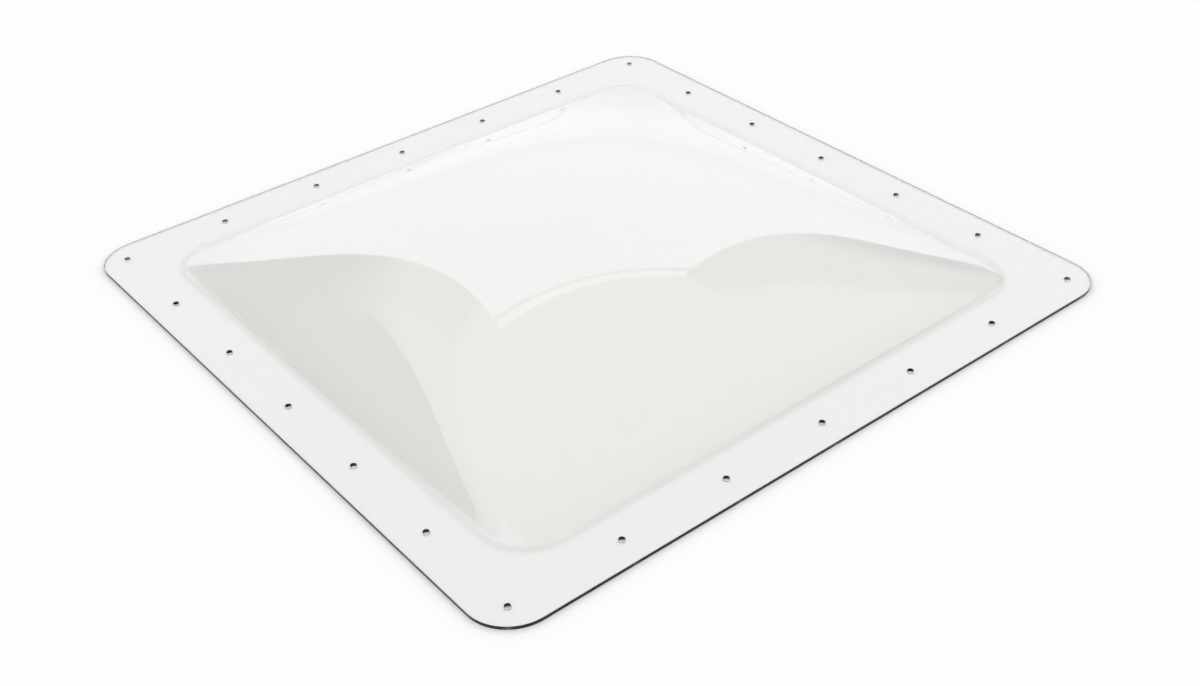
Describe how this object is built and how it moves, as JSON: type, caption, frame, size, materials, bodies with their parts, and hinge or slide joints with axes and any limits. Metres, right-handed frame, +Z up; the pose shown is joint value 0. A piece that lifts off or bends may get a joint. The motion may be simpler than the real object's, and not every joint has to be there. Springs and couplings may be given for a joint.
{
  "type": "rv skylight",
  "caption": "Clear square roof skylight for a caravan or camper: one polycarbonate sheet blown into a low crown inside a flat flange with screw holes all round.",
  "frame": {"origin": "middle of the flange's underside, which rests on the roof", "axes": "+Z up, out of the roof, through the top of the crown; X and Y along the sides of the square flange"},
  "size_m": [0.6604, 0.6604, 0.0794],
  "materials": {
    "clear_polycarbonate": "clear, colourless and glossy on both faces; cut edges look dark or grey because light passes along the sheet"
  },
  "bodies": {
    "root": {"skylight_dome": "clear_polycarbonate"}
  },
  "joints": []
}
